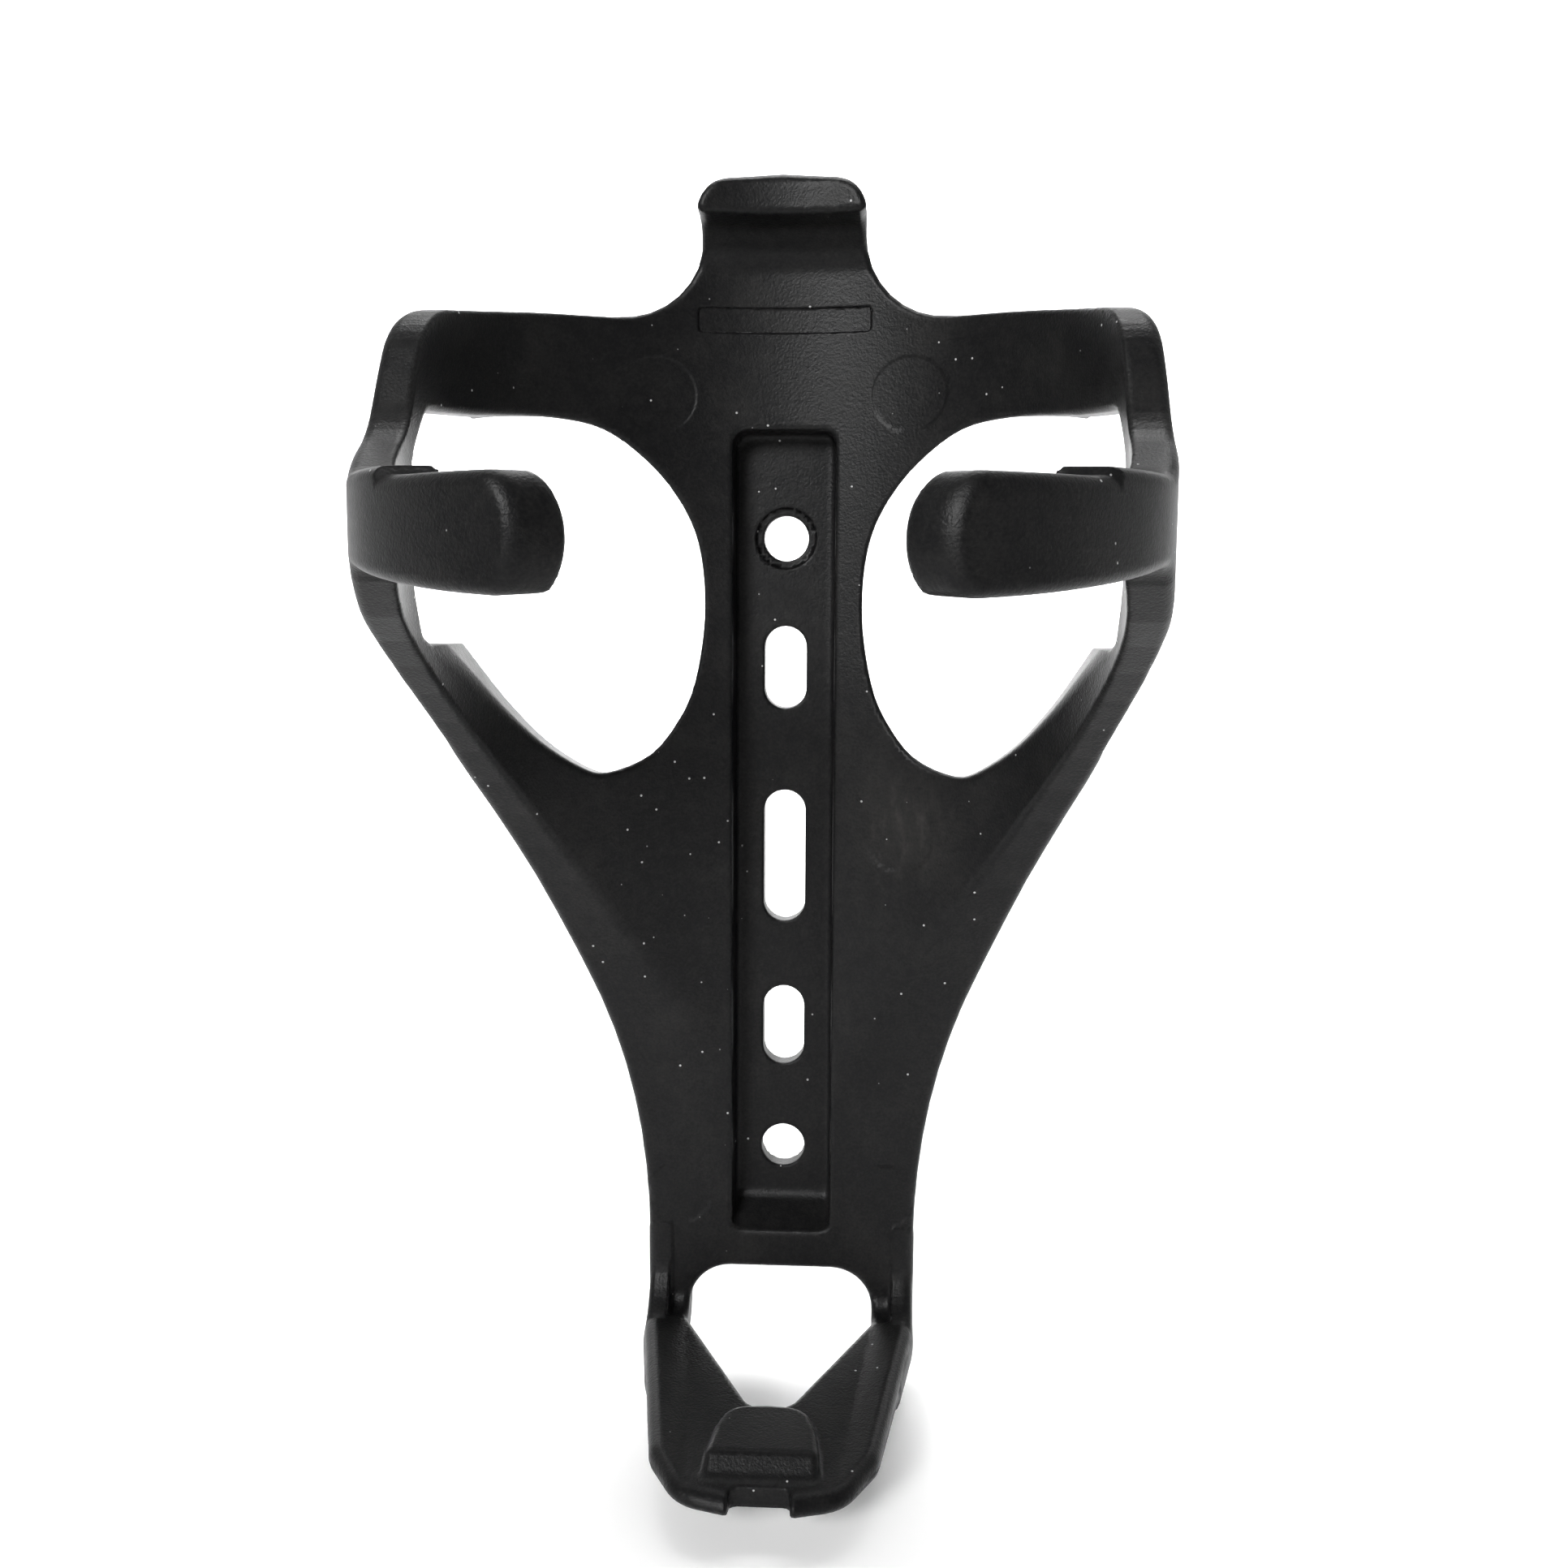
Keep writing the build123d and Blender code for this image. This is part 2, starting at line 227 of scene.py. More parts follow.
def crownPath():
    # arms, flared neck and the slightly wider lip, seen from the front
    points = [(-20.0, -120.0), (70.0, -120.0), (70.0, crown["top"])]
    flare = crown["flare"]
    for i in range(9):
        angle = math.radians(90) * i / 8
        points.append((
            crown["neckHalf"] + flare - flare * math.sin(angle),
            crown["flareTop"] - flare * math.cos(angle),
        ))
    top = cornerPath([
        (crown["lipHalf"], crown["lipBottom"], crown["lipEdge"]),
        (crown["lipHalf"], crown["lipTop"], crown["lipCorner"]),
        (0.0, crown["lipTop"] + crown["lipArch"], 0),
        (-20.0, crown["lipTop"], 0),
        (-20.0, 0.0, 0),
    ])
    return np.concatenate([np.array(points), top[:-1]])


crownOutline = crownPath()
windows = {
    "back": smoothPath([
        (36.0, 44.3), (32.4, 45.2), (26.9, 45.6), (21.6, 44.6), (16.7, 41.0), (13.2, 36.7), (11.05, 32.2),
        (10.1, 27.0), (10.1, 20.5), (11.2, 14.0), (13.0, 9.5), (16.5, 5.0), (21.5, 3.0), (24.5, 4.0),
        (28.5, 7.5), (32.0, 12.3), (34.5, 16.8), (36.0, 19.8),
    ]),
    "side": cornerPath([
        (-24.0, 45.2, 0), (-38.6, 44.6, 2.5), (-43.6, 38.5, 9.0), (-43.6, 26.5, 9.0),
        (-41.0, 20.8, 2.0), (-38.5, 19.8, 1.0), (-24.0, 19.3, 0),
    ]),
    "backReach": -38.0, "draft": 0.12, "draftDepth": 8,
    "edge": 0.7,
}
fingers = {
    "tipX": 19.0, "tipZ": 30.3, "tipRadius": 5.7, "tipSlant": 1.5, "slantFrom": -2.0, "slantTo": 6.0,
    "innerY": -78.7, "edge": 1.5,
    "front": -70.0, "back": -60.0,      # the rounded end applies in front and fades out by the second
}
channel = {
    "half": 6.4, "wall": 2.6, "top": 45.2, "bottom": -59.0, "corner": 1.8, "floor": -3.0,
    "rampStart": -55.4, "rampNormal": (0.604, 0.797), "rampEdge": 0.8, "floorEdge": 1.0, "rimEdge": 0.5,
    "outerCorner": 2.6, "seatEdge": 0.8, "blockDepth": 5.5, "blend": 1.4,
    # height, radius and half travel of each hole and slot
    "slots": ((32.0, 2.85, 0.0), (15.5, 2.7, 2.6), (-9.2, 2.7, 6.0), (-32.0, 2.7, 2.6), (-48.6, 2.85, 0.0)),
    "ring": 3.85, "ringDepth": 0.45, "cutDepth": 6.0, "slotEdge": 0.3, "ringEdge": 0.2,
}
tab = {
    "side": cornerPath([
        (-3.15, 60.0, 0), (-3.15, 74.7, 4.0), (-15.3, 74.7, 2.0), (-15.3, 69.6, 0.7),
        (-11.6, 68.9, 4.0), (-7.75, 65.6, 4.0), (-7.75, 60.0, 0),
    ]),
    "edge": 1.0, "reach": 30.0,
}
foot = {
    "side": cornerPath([
        (-3.15, -58.0, 0), (-3.15, -73.3, 6.0), (-48.6, -75.5, 1.0), (-60.0, -76.1, 0), (-60.0, -73.89, 0),
        (-7.75, -69.4, 2.5), (-7.75, -58.0, 0),
    ]),
    "rail": cornerPath([
        (-3.15, -58.0, 0), (-3.15, -73.3, 6.0), (-24.0, -74.9, 0), (-24.0, -70.8, 0),
        (-7.75, -69.4, 8.5), (-7.75, -58.0, 0),
    ]),
    "plan": cornerPath([
        (17.4, 10.0, 0), (17.4, -13.0, 20.0), (13.2, -39.5, 5.0), (9.6, -46.2, 6.0), (0.0, -48.9, 20.0),
        (-20.0, -48.9, 0), (-20.0, 10.0, 0),
    ]),
    "shelfWindow": cornerPath([
        (12.1, -3.0, 0), (12.1, -10.4, 1.6), (0.9, -32.6, 2.6), (-12.1, -10.4, 0), (-12.1, -3.0, 0),
    ]),
    "heelWindow": cornerPath([
        (12.1, -63.8, 5.5), (12.1, -90.0, 0), (-20.0, -90.0, 0), (-20.0, -63.8, 0),
    ]),
    "join": -61.0,
    "notchHalf": 3.4, "notchBack": -45.2, "notchDepth": 12.0, "notchTop": 60.0, "notchCorner": 0.8, "notchEdge": 0.5,
    "slope": 0.086, "height": -69.4, "edge": 1.8, "heelEdge": 1.1, "edgeFrom": -62.0, "edgeFull": -69.0,
    "railInner": 14.7, "railBlend": 0.7,
    # the sides of the shelf rise outward from a fold that widens towards the back
    "foldHalf": 12.0, "foldStart": 12.0, "foldOut": 3.0, "foldLength": 27.0,
    "foldRise": 0.2, "foldDepth": 2.5, "foldBack": 11.0, "foldShare": 0.98,
    "shelfCutTop": 66.0, "shelfCutBack": 8.2, "heelCutFront": 10.2, "windowEdge": 0.8,
}
pad = {
    "plan": cornerPath([
        (6.9, -46.5, 0), (5.9, -36.8, 2.0), (4.6, -32.4, 3.4), (-6.0, -31.6, 0), (-6.0, -46.5, 0),
    ]),
    "side": cornerPath([
        (-25.0, -69.6, 0), (-42.2, -70.1, 1.2), (-45.6, -74.4, 0), (-25.0, -76.0, 0),
    ]),
    "edge": 0.9, "back": 25.0, "blend": 0.6,
}
pushPins = {
    # across, height, radius, and whether the left side has the mark too
    "marks": ((15.3, 49.2, 4.5, True), (13.4, -53.7, 4.2, True), (14.7, -5.5, 4.2, False)),
    "rim": 0.2, "depth": 0.10, "front": -5.0,
}


def boxDistance(u, v, halfU, halfV, corner):
    du, dv = np.abs(u) - halfU + corner, np.abs(v) - halfV + corner
    outside = np.sqrt(np.maximum(du, 0) ** 2 + np.maximum(dv, 0) ** 2)
    return np.minimum(np.maximum(du, dv), 0) + outside - corner


def cageShape(x, y, z):
    ax = np.abs(x)
    radial = np.sqrt(x * x + (y - bottle["axis"]) ** 2)
    bore = bottle["radius"] - radial
    rind = radial - bottle["radius"] - sheet["wall"]
    front = fromOutline(frontLine, y, z)
    band = cutTo(-front - sheet["wall"], z - sheet["bandTop"], sheet["bandEdge"])
    behind = join(rind, band, sheet["bandEdge"])
    rounding = sheet["frontEdge"] + sheet["armEdge"] * fade(z, sheet["armEdgeFrom"], sheet["armEdgeFull"])
    body = cutTo(behind, fromOutline(sideLine, y, z), rounding)
    body = cutTo(body, bore, sheet["crease"])
    body = cutTo(body, fromOutline(outline, ax, z), sheet["edge"])
    # windows, cut from behind and from the side
    widening = windows["draft"] * np.clip(-bore, 0, windows["draftDepth"])
    back = np.maximum(fromOutline(windows["back"], ax, z) - widening, windows["backReach"] - y)
    window = np.minimum(back, fromOutline(windows["side"], y, z))
    body = cutTo(body, -window, windows["edge"])
    # finger ends slant away from the gap and are round seen from the front
    shift = fingers["tipSlant"] * np.clip(fingers["innerY"] - y, fingers["slantFrom"], fingers["slantTo"])
    inward = np.maximum(fingers["tipX"] + shift - ax, 0.0)
    tip = np.sqrt(inward ** 2 + (z - fingers["tipZ"]) ** 2) - fingers["tipRadius"]
    tip = tip - farAway * fade(y, fingers["front"], fingers["back"])
    body = cutTo(body, tip, fingers["edge"])
    # crown and neck
    upper = np.maximum(fromOutline(crownOutline, ax, z), z - crown["neckEnd"])
    body = np.maximum(cutTo(body, upper, crown["edge"]), foot["join"] - z)
    lip = fromOutline(tab["side"], radial + bottle["axis"], z)
    lip = cutTo(lip, fromOutline(crownOutline, ax, z), tab["edge"])
    body = np.minimum(body, np.maximum(lip, -y - tab["reach"]))
    # the channel block behind the sheet
    middle = (channel["top"] + channel["bottom"]) / 2
    halfHeight = (channel["top"] - channel["bottom"]) / 2
    outerHalf = channel["half"] + channel["wall"]
    block = boxDistance(x, z - middle, outerHalf, halfHeight + channel["wall"], channel["outerCorner"])
    block = cutTo(block, y + 0 * z, channel["seatEdge"])
    block = np.maximum(block, -(y + channel["blockDepth"]))
    body = join(body, block, channel["blend"])
    # foot with its side rails and pad
    plan = fromOutline(foot["plan"], ax, y)
    edge = foot["heelEdge"] + (foot["edge"] - foot["heelEdge"]) * fade(z, foot["edgeFrom"], foot["edgeFull"])
    shelf = cutTo(fromOutline(foot["side"], y, z), plan, edge)
    rail = np.maximum(fromOutline(foot["rail"], y, z), foot["railInner"] - ax)
    shelf = join(shelf, cutTo(rail, plan, foot["heelEdge"]), foot["railBlend"])
    shelfTop = foot["height"] + foot["slope"] * (y - rimPlane)
    foldLine = foot["foldHalf"] + (y + foot["foldStart"]) * foot["foldOut"] / foot["foldLength"]
    under = np.maximum(shelfTop - foot["foldDepth"] - z, y + foot["foldBack"])
    wedge = np.maximum(z - shelfTop - foot["foldRise"] * (ax - foldLine), under)
    shelf = np.minimum(shelf, cutTo(wedge * foot["foldShare"], plan, edge))
    cutLimit = np.maximum(z + foot["shelfCutTop"], y + foot["shelfCutBack"])
    shelfHole = np.maximum(fromOutline(foot["shelfWindow"], ax, y), cutLimit)
    heelHole = np.maximum(fromOutline(foot["heelWindow"], ax, z), -y - foot["heelCutFront"])
    body = np.minimum(body, shelf)
    body = cutTo(body, -np.minimum(shelfHole, heelHole), foot["windowEdge"])
    bump = cutTo(fromOutline(pad["side"], y, z), fromOutline(pad["plan"], ax, y), pad["edge"])
    body = join(body, np.maximum(bump, y + pad["back"]), pad["blend"])
    depth = foot["notchDepth"]
    notch = boxDistance(x, y - foot["notchBack"] + depth, foot["notchHalf"], depth, foot["notchCorner"])
    body = cutTo(body, -np.maximum(notch, z + foot["notchTop"]), foot["notchEdge"])
    # channel pocket, ramp, bolt holes
    pocket = cutTo(
        boxDistance(x, z - middle, channel["half"], halfHeight, channel["corner"]),
        y - channel["floor"], channel["floorEdge"],
    )
    slopeY, slopeZ = channel["rampNormal"]
    ramp = (y - channel["floor"]) * slopeY - (z - channel["rampStart"]) * slopeZ
    pocket = cutTo(pocket, ramp, channel["rampEdge"])
    body = cutTo(body, -pocket, channel["rimEdge"])
    for height, radius, reach in channel["slots"]:
        slot = np.sqrt(x * x + np.maximum(np.abs(z - height) - reach, 0) ** 2) - radius
        body = cutTo(body, -np.maximum(slot, -y - channel["cutDepth"]), channel["slotEdge"])
    sink = np.sqrt(x * x + (z - channel["slots"][0][0]) ** 2) - channel["ring"]
    sink = np.maximum(sink, y - channel["floor"] - channel["ringDepth"])
    body = cutTo(body, -np.maximum(sink, -y - channel["cutDepth"]), channel["ringEdge"])
    # blank bar pressed into the crown
    bar = boxDistance(x, z - crown["barMiddle"], crown["barHalf"], crown["barHeight"], crown["barCorner"])
    bar = np.maximum(np.maximum(bar, -crown["barDepth"] - bore), y + 0 * z)
    body = cutTo(body, -bar, crown["barEdge"])
    # shallow round marks left by the mould's push pins
    rim = pushPins["rim"]
    for across, height, radius, bothSides in pushPins["marks"]:
        disc = fade(np.sqrt((ax - across) ** 2 + (z - height) ** 2), radius + rim, radius - rim)
        if not bothSides:
            disc = disc * (x > 0)
        body = body + pushPins["depth"] * disc * (y < pushPins["front"])
    return body


def meshShape(shape, low, high, cell):
    # one vertex in every cell that the surface passes, then drawn on to the surface
    low = np.array(low, float)
    counts = np.ceil((np.array(high) - low) / cell).astype(int) + 1
    xs, ys, zs = (low[k] + cell * np.arange(counts[k]) for k in range(3))
    value = np.empty(tuple(counts), np.float32)
    layers = 24      # worked out in slabs, to save memory
    for start in range(0, counts[2], layers):
        part = zs[start:start + layers]
        value[:, :, start:start + layers] = shape(xs[:, None, None], ys[None, :, None], part[None, None, :])
    inside = value < 0
    nx, ny, nz = counts - 1
    total = np.zeros((nx, ny, nz), np.int8)
    corners = [(i, j, k) for i in (0, 1) for j in (0, 1) for k in (0, 1)]
    for i, j, k in corners:
        total += inside[i:i + nx, j:j + ny, k:k + nz]
    ci, cj, ck = np.nonzero((total > 0) & (total < 8))
    number = np.full((nx, ny, nz), -1, np.int32)
    number[ci, cj, ck] = np.arange(len(ci))
    place = np.zeros((len(ci), 3))
    hits = np.zeros(len(ci))
    for i, j, k in corners:
        for axis in range(3):
            if (i, j, k)[axis]:
                continue
            step = np.eye(3, dtype=int)[axis]
            a = value[ci + i, cj + j, ck + k].astype(float)
            b = value[ci + i + step[0], cj + j + step[1], ck + k + step[2]].astype(float)
            crossed = (a < 0) != (b < 0)
            share = np.where(crossed, a / np.where(crossed, a - b, 1), 0)
            place += crossed[:, None] * (np.array((i, j, k)) + share[:, None] * step)
            hits += crossed
    points = low + cell * (np.stack([ci, cj, ck], 1) + place / hits[:, None])
    quads = []
    for axis in range(3):
        ranges = [slice(1, n) for n in (nx, ny, nz)]
        ranges[axis] = slice(0, (nx, ny, nz)[axis])
        nextRanges = list(ranges)
        nextRanges[axis] = slice(1, (nx, ny, nz)[axis] + 1)
        a, b = inside[tuple(ranges)], inside[tuple(nextRanges)]
        gi = np.argwhere(a != b)
        out = a[tuple(gi.T)]
        base = gi + np.array([0 if k == axis else 1 for k in range(3)])
        u, v = [k for k in range(3) if k != axis]
        around = []
        for du, dv in ((-1, -1), (0, -1), (0, 0), (-1, 0)):
            index = base.copy()
            index[:, u] += du
            index[:, v] += dv
            around.append(number[tuple(index.T)])
        quad = np.stack(around, 1)
        turn = out if axis != 1 else ~out
        quads.append(np.where(turn[:, None], quad, quad[:, ::-1]))
    return points, np.concatenate(quads)


def slopeOf(shape, points, step):
    # four samples at the corners of a small tetrahedron
    total = np.zeros(points.shape)
    for corner in ((1, -1, -1), (-1, -1, 1), (-1, 1, -1), (1, 1, 1)):
        corner = np.array(corner, float)
        total += shape(*(points + step * corner).T)[:, None] * corner
    return total / (4 * step)


def settle(points, cell):
    # draws vertices on to the surface
    slope = slopeOf(cageShape, points, 0.05)
    size = np.maximum((slope ** 2).sum(1), 0.25)
    move = -(cageShape(*points.T) / size)[:, None] * slope
    length = np.linalg.norm(move, axis=1)
    return points + move * np.minimum(1, 0.6 * cell / np.maximum(length, 1e-9))[:, None]


def refine(corners, parts):
    # splits every face of four corners into parts x parts
    share = np.arange(parts + 1) / parts
    u, v = (g.ravel()[None, :, None] for g in np.meshgrid(share, share, indexing="ij"))
    a, b, c, d = (corners[:, k][:, None, :] for k in range(4))
    grid = a * (1 - u) * (1 - v) + b * u * (1 - v) + c * u * v + d * (1 - u) * v
    place, back = np.unique(np.round(grid.reshape(-1, 3), 4), axis=0, return_inverse=True)
    number = back.reshape(len(corners), parts + 1, parts + 1)
    faces = np.stack([number[:, :-1, :-1], number[:, 1:, :-1], number[:, 1:, 1:], number[:, :-1, 1:]], -1)
    return place, faces.reshape(-1, 4)


cell = 0.5
low, high = (-42.25, -88.4, -79.3), (42.25, 1.4, 76.4)
points, quads = meshShape(cageShape, low, high, cell)
points = settle(points, cell)
points[:, 1] = np.minimum(points[:, 1], 0.0)   # the seat ends flat on the frame
print("cage meshed:", len(points), "vertices,", len(quads), "faces")

members = {}     # piece: (CAD node, body it rides on, body beyond it); only pieces with no body beyond are attached, the others are baked in place


def addMember(name, body="back_frame", bendsTo=None):
    node = "".join("_" + letter.lower() if letter.isupper() else letter for letter in name)
    members[name] = (node, body, bendsTo)


for name in (
    "mountingFloor", "channelWallLeft", "channelWallRight", "channelWallTop", "channelWallBottom", "channelRamp",
    "crownPlate", "spineFlankLeft", "spineFlankRight", "spineWebLeft", "spineWebRight",
    "lowerPlateLeft", "lowerPlateRight", "neck", "shelfSideLeft", "shelfSideRight", "shelfFront", "stopPad",
):
    addMember(name)
for name in ("upperArm", "sideStrap", "lowerStrut"):
    for side in ("Left", "Right"):
        addMember(name + side, "back_frame", side.lower() + "_loop")
for side in ("Left", "Right"):
    addMember("finger" + side, side.lower() + "_loop", side.lower() + "_finger")
addMember("retentionTab", "back_frame", "tab")
fineParts = {"crownPlate": 3, "neck": 3}     # faces here are split again for the small marks
splits = {
    "loop": 19.5, "loopBend": 26.5,          # the loops start at this x; the second x lies further out along them
    "finger": -57.0, "fingerBend": -66.0,    # the same for the fingers, along y
    "tab": 63.5, "tabBend": 68.0,            # and for the tab, along z
    "margin": 1.0,
    "plate": -22.0, "web": 12.0, "strut": 20.0, "strap": 44.5, "foot": -62.0, "shelf": -33.0,
    "padHalf": 7.2, "padBack": -31.4, "padFront": -45.4, "padLift": 0.2, "rampLift": 0.2, "floorLift": 0.05,
}


def memberOf(x, y, z):
    # name of the member each face centre lies in
    ax = np.abs(x)
    side = np.where(x < 0, "Left", "Right")
    outer = channel["half"] + channel["wall"]
    inTray = (ax < outer) & (z < channel["top"] + channel["wall"]) & (z > channel["bottom"] - channel["wall"])
    onRamp = (ax < channel["half"]) & (z < channel["rampStart"] + splits["rampLift"]) & (z > channel["bottom"])
    shelfTop = foot["height"] + foot["slope"] * (y - rimPlane)
    onPad = (z < splits["foot"]) & (ax < splits["padHalf"]) & (z > shelfTop + splits["padLift"])
    onPad = onPad & (y < splits["padBack"]) & (y > splits["padFront"])
    tests = [
        (z > splits["tab"], "retentionTab"),
        (z > crown["top"], "neck"),
        (onPad, "stopPad"),
        ((z < splits["foot"]) & (y < splits["shelf"]), "shelfFront"),
        (z < splits["foot"], np.char.add("shelfSide", side)),
        (inTray & (y > channel["floor"] - splits["floorLift"]), "mountingFloor"),
        (inTray & (z > channel["top"]), "channelWallTop"),
        (inTray & (z < channel["bottom"]), "channelWallBottom"),
        (inTray & onRamp, "channelRamp"),
        (inTray, np.char.add("channelWall", side)),
        (z < splits["plate"], np.char.add("lowerPlate", side)),
        ((ax < splits["loop"]) & (z > channel["top"]), "crownPlate"),
        ((ax < splits["loop"]) & (z > splits["web"]), np.char.add("spineFlank", side)),
        (ax < splits["loop"], np.char.add("spineWeb", side)),
        (y < splits["finger"], np.char.add("finger", side)),
        (z < splits["strut"], np.char.add("lowerStrut", side)),
        (z < splits["strap"], np.char.add("sideStrap", side)),
    ]
    found = [test for test, _ in tests]
    names = [np.broadcast_to(name, x.shape) for _, name in tests]
    return np.select(found, names, np.char.add("upperArm", side))


def buildPiece(name, faces, material):
    parts = fineParts.get(name, 1)
    if parts > 1:
        place, local = refine(points[faces], parts)
        place = settle(place, cell)
    else:
        used, local = np.unique(faces, return_inverse=True)
        place, local = points[used], local.reshape(faces.shape)
    slope = slopeOf(cageShape, place, 0.07)
    normals = slope / np.maximum(np.linalg.norm(slope, axis=1), 1e-9)[:, None]
    mesh = bpy.data.meshes.new(name)
    mesh.vertices.add(len(place))
    mesh.vertices.foreach_set("co", (place * mm).astype(np.float32).ravel())
    mesh.loops.add(local.size)
    mesh.loops.foreach_set("vertex_index", local.astype(np.int32).ravel())
    mesh.polygons.add(len(local))
    mesh.polygons.foreach_set("loop_start", np.arange(0, local.size, 4, dtype=np.int32))
    mesh.polygons.foreach_set("use_smooth", np.ones(len(local), bool))
    mesh.update(calc_edges=True)
    mesh.validate()
    mesh.normals_split_custom_set_from_vertices(normals.tolist())
    made = bpy.data.objects.new(name, mesh)
    bpy.context.scene.collection.objects.link(made)
    made.data.materials.append(material)
    return made


class Wire:
    # an output socket that takes part in arithmetic
    def __init__(self, tree, output):
        self.tree, self.output = tree, output

    def maths(self, operation, *values):
        return self.tree.node("Math", {"operation": operation}, dict(enumerate(values)))

    def __add__(self, other): return self.maths("ADD", self, other)
    def __radd__(self, other): return self.maths("ADD", other, self)
    def __sub__(self, other): return self.maths("SUBTRACT", self, other)
    def __rsub__(self, other): return self.maths("SUBTRACT", other, self)
    def __mul__(self, other): return self.maths("MULTIPLY", self, other)
    def __rmul__(self, other): return self.maths("MULTIPLY", other, self)

    def ramp(self, start, end):
        # 0 at start, 1 at end, smooth between; start may be the larger
        return self.tree.node("MapRange", {"interpolation_type": "SMOOTHSTEP"}, {
            "Value": self, "From Min": start, "From Max": end, "To Min": 0.0, "To Max": 1.0,
        })


class NodeTree:
    # owner is a material or a world
    def __init__(self, owner):
        owner.use_nodes = True
        self.owner = owner
        self.tree = owner.node_tree
        self.tree.nodes.clear()

    def node(self, kind, settings, sockets, output=0):
        made = self.tree.nodes.new("ShaderNode" + kind)
        for key, value in settings.items():
            setattr(made, key, value)
        for key, value in sockets.items():
            if isinstance(value, Wire):
                self.tree.links.new(value.output, made.inputs[key])
            else:
                made.inputs[key].default_value = value
        return Wire(self, made.outputs[output]) if made.outputs else None

    def blendColour(self, share, first, second):
        return self.node("Mix", {"data_type": "RGBA"}, {0: share, 6: first, 7: second}, output=2)


nylon = {
    "black": (0.0042, 0.0043, 0.0047, 1),
    "worn": (0.024, 0.023, 0.0215, 1),
    "dust": (0.42, 0.42, 0.42, 1),
    "roughness": 0.41,
    "grainSize": 0.32,        # millimetres between grains
    "grainDepth": 0.055,
    "mottleSize": 1.3,
    "dustSpacing": 2.7,
    "dustRadius": 0.13,
    "hazeSize": 9.0,
    "scuffPlace": (14.5, -12.0, -4.0),
    "scuffReach": 11.0,
    "streakSize": 1.6,
    "ior": 1.50, "shine": 0.165,
    # how much each lightens the black
    "plainWear": 0.07, "hazeWear": 0.20, "mottleWear": 0.35, "grainWear": 0.7, "scuffWear": 0.9,
}


def nylonMaterial():
    tree = NodeTree(bpy.data.materials.new("mouldedNylon"))
    where = tree.node("TexCoord", {}, {}, output="Object")
    metre = 1000.0

    def noise(size, detail, roughness, stretch=None):
        at = where
        if stretch:
            at = tree.node("VectorMath", {"operation": "MULTIPLY"}, {0: where, 1: stretch})
        return tree.node("TexNoise", {}, {
            "Vector": at, "Scale": metre / size, "Detail": detail, "Roughness": roughness,
        })

    grain = noise(nylon["grainSize"], 2.0, 0.6)
    mottle = noise(nylon["mottleSize"], 3.0, 0.65)
    haze = noise(nylon["hazeSize"], 3.0, 0.55).ramp(0.42, 0.78)
    streaks = noise(nylon["streakSize"], 4.0, 0.7, (1.0, 1.0, 0.35)).ramp(0.45, 0.75)
    far = tree.node("VectorMath", {"operation": "DISTANCE"}, {
        0: where, 1: [v * mm for v in nylon["scuffPlace"]],
    }, output="Value")
    scuff = far.ramp(nylon["scuffReach"] * mm, 0.0) * (0.35 + streaks * 0.65)
    speck = tree.node("TexVoronoi", {"feature": "F1"}, {
        "Vector": where, "Scale": metre / nylon["dustSpacing"], "Randomness": 1.0,
    }, output="Distance")
    radius = nylon["dustRadius"] / nylon["dustSpacing"]
    dust = speck.ramp(radius * 1.35, radius * 0.75)
    # tone: black nylon, a little lighter where it is rubbed or mottled
    rubbed = haze * nylon["hazeWear"] + (mottle - 0.5) * nylon["mottleWear"] + (grain - 0.5) * nylon["grainWear"]
    rubbed = rubbed + scuff * nylon["scuffWear"] + nylon["plainWear"]
    rubbed = rubbed.maths("MAXIMUM", rubbed, 0.0)
    tone = tree.blendColour(rubbed, nylon["black"], nylon["worn"])
    tone = tree.blendColour(dust, tone, nylon["dust"])
    rough = nylon["roughness"] + (mottle - 0.5) * 0.10 + haze * 0.05 + scuff * 0.10 + dust * 0.3
    height = grain * 1.0 + mottle * 0.6 + dust * 1.2
    bump = tree.node("Bump", {}, {"Strength": 1.0, "Distance": nylon["grainDepth"] * mm, "Height": height})
    surface = tree.node("BsdfPrincipled", {}, {
        "Base Color": tone, "Roughness": rough, "IOR": nylon["ior"],
        "Specular IOR Level": nylon["shine"], "Normal": bump,
    })
    tree.node("OutputMaterial", {}, {"Surface": surface})
    return tree.owner


nylonBlack = nylonMaterial()
print("nylon mixed")

centres = points[quads].mean(axis=1)
owner = memberOf(*centres.T)
for name, (node, body, bendsTo) in members.items():
    faces = quads[owner == name]
    piece = buildPiece(name, faces, nylonBlack)
    if not bendsTo:
        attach(piece, body)
    else:
        sign = -1 if name.endswith("Left") else 1
        gap = splits["margin"]
        if bendsTo == "tab":
            start, end = (0, 0, splits["tab"] + gap), (0, 0, splits["tabBend"])
        elif body == "back_frame":
            start, end = (sign * (splits["loop"] + gap), 0, 0), (sign * splits["loopBend"], 0, 0)
        else:
            start, end = (0, splits["finger"] - gap, 0), (0, splits["fingerBend"], 0)
        [v * mm for v in start]
        [v * mm for v in end]
        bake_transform(piece)
    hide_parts(node)
print("pieces placed:", len(members))

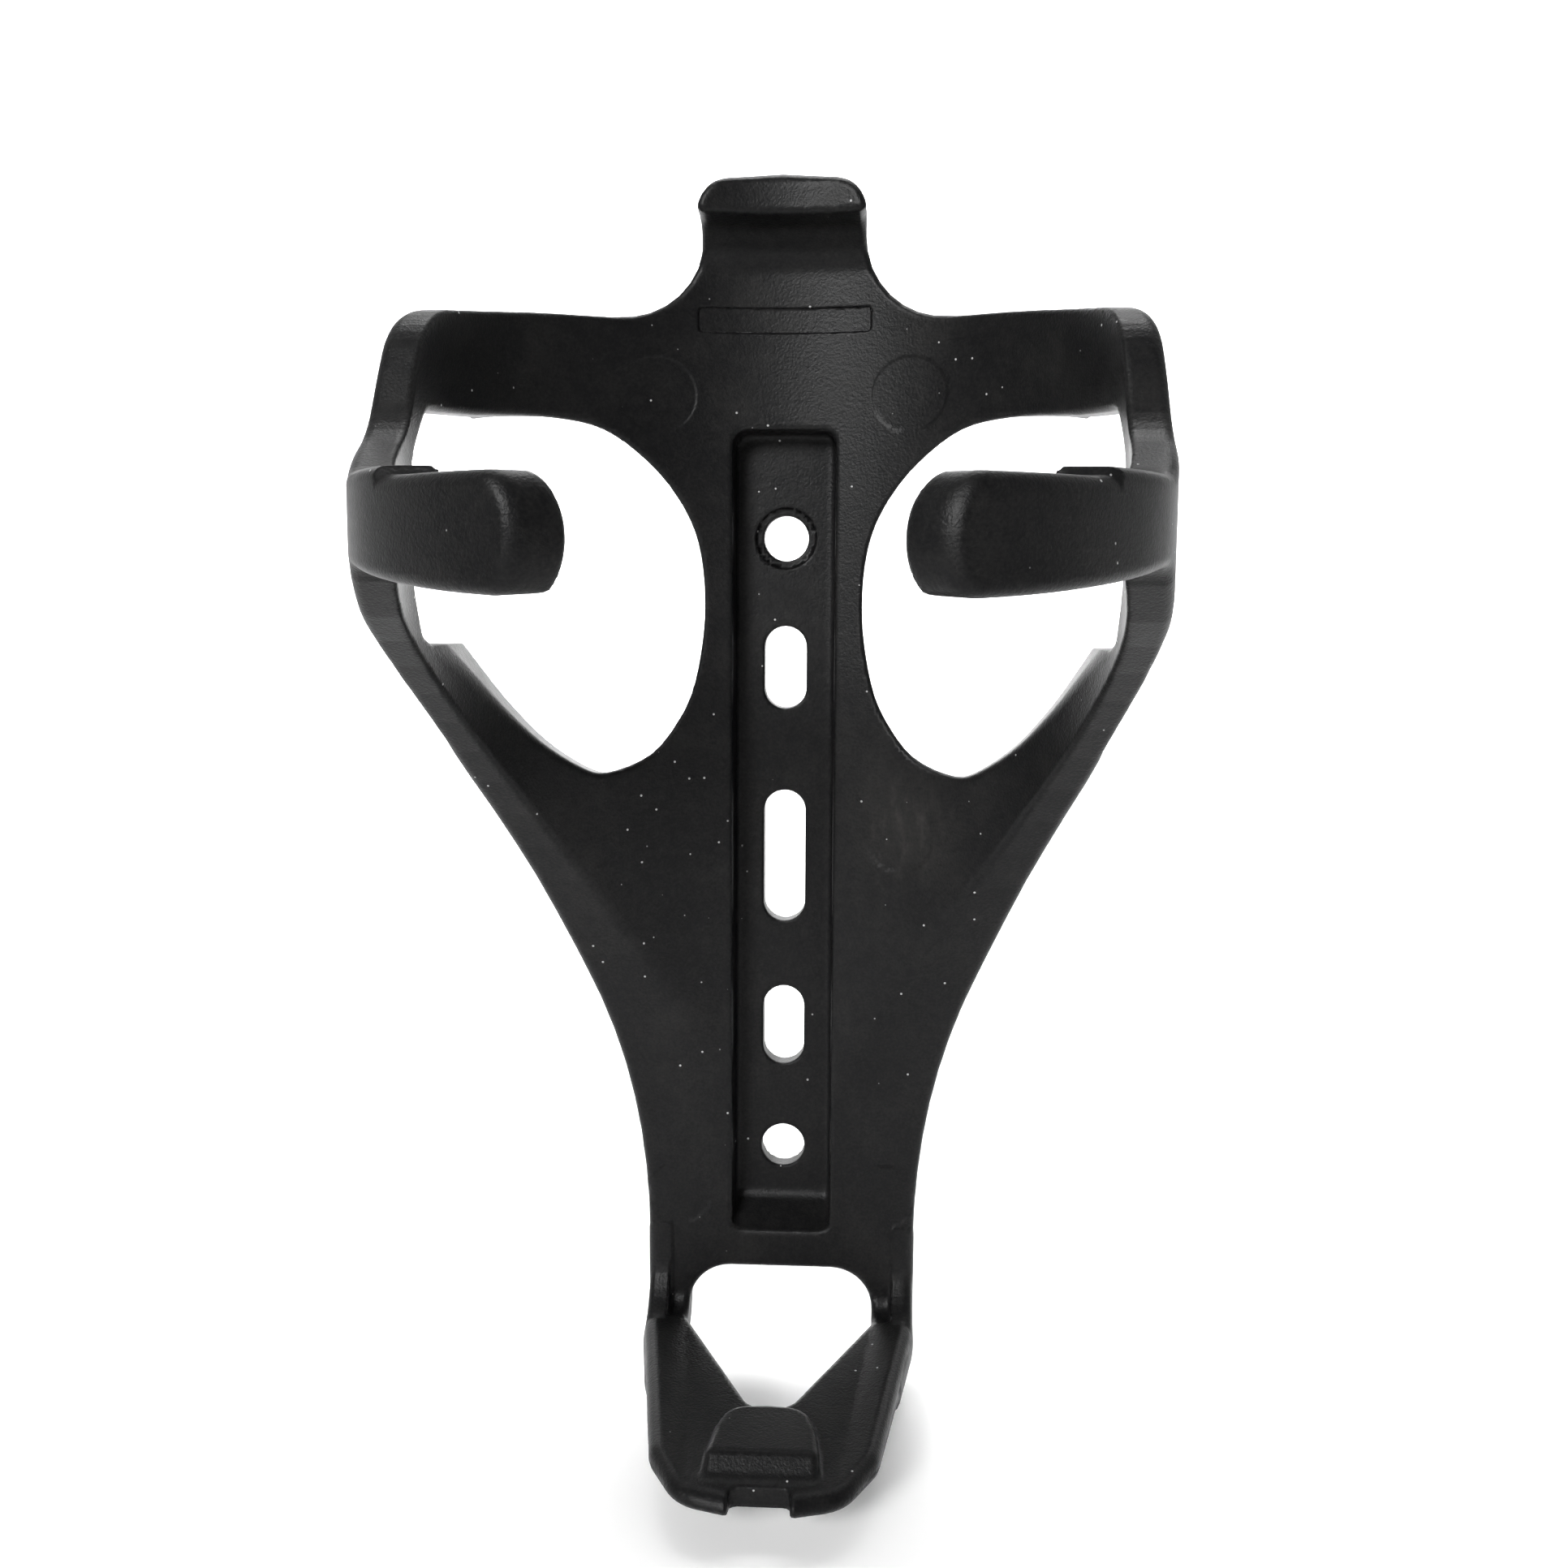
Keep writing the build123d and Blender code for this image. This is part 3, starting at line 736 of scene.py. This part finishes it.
studio = {
    "floor": -0.0795, "floorGlow": 0.18, "halfWidth": 4.0,
    "front": -3.0, "curveStart": 1.6, "curveRadius": 0.9, "wallTop": 3.5,
    "skyBehind": 0.9, "skyInFront": 0.015,
}
lights = {
    # aimed above the cage, so that the foot stays darker than the crown
    "keyLight": {
        "place": (-0.32, -0.78, 0.44), "target": (-0.01, -0.03, 0.085), "size": 0.45, "power": 0.72, "spread": 35,
    },
    "fillLight": {"place": (0.9, -0.35, 0.35), "target": (0, -0.03, 0), "size": 0.5, "power": 0.35, "spread": 180},
    "backLight": {"place": (0.0, 0.9, 1.1), "target": (0, 0.75, -0.08), "size": 1.4, "power": 10.0, "spread": 64},
    "wallLight": {"place": (0.0, 0.75, 1.9), "target": (-0.25, 2.5, 0.7), "size": 1.4, "power": 80.0, "spread": 110},
}


def addLight(name, values):
    lamp = bpy.data.lights.new(name, "AREA")
    lamp.shape = "DISK"
    lamp.size = values["size"]
    lamp.energy = values["power"]
    lamp.spread = math.radians(values["spread"])
    made = bpy.data.objects.new(name, lamp)
    made.location = values["place"]
    made.rotation_mode = "QUATERNION"
    aim = Vector(values["target"]) - Vector(values["place"])
    made.rotation_quaternion = aim.to_track_quat("-Z", "Y")
    bpy.context.scene.collection.objects.link(made)


def addStudio():
    # pale floor that curves up into a backdrop
    bend, radius, half = studio["curveStart"], studio["curveRadius"], studio["halfWidth"]
    path = [(studio["front"], 0.0), (bend, 0.0)]
    for i in range(1, 13):
        angle = math.radians(90) * i / 12
        path.append((bend + radius * math.sin(angle), radius * (1 - math.cos(angle))))
    path.append((bend + radius, studio["wallTop"]))
    corners, faces = [], []
    for along, up in path:
        corners += [(-half, along, studio["floor"] + up), (half, along, studio["floor"] + up)]
    for i in range(len(path) - 1):
        faces.append((2 * i, 2 * i + 1, 2 * i + 3, 2 * i + 2))
    mesh = bpy.data.meshes.new("studioFloor")
    mesh.from_pydata(corners, [], faces)
    mesh.polygons.foreach_set("use_smooth", [True] * len(faces))
    floor = bpy.data.objects.new("studioFloor", mesh)
    bpy.context.scene.collection.objects.link(floor)
    tree = NodeTree(bpy.data.materials.new("paleFloor"))
    surface = tree.node("BsdfPrincipled", {}, {
        "Base Color": (0.93, 0.93, 0.93, 1), "Roughness": 0.9,
        "Emission Color": (1, 1, 1, 1), "Emission Strength": studio["floorGlow"],
    })
    tree.node("OutputMaterial", {}, {"Surface": surface})
    mesh.materials.append(tree.owner)
    # bright behind the cage, dark in front of it
    world = bpy.data.worlds.new("studio")
    bpy.context.scene.world = world
    sky = NodeTree(world)
    direction = sky.node("TexCoord", {}, {}, output="Generated")
    depth = sky.node("SeparateXYZ", {}, {0: direction}, output="Y")
    glow = sky.node("MapRange", {}, {
        "Value": depth, "From Min": -0.2, "From Max": 0.5,
        "To Min": studio["skyInFront"], "To Max": studio["skyBehind"],
    })
    shine = sky.node("Background", {}, {"Color": (1, 1, 1, 1), "Strength": glow})
    sky.node("OutputWorld", {}, {"Surface": shine})
    for name, values in lights.items():
        addLight(name, values)
    bpy.context.scene.view_settings.view_transform = "Standard"


addStudio()
print("studio lit")
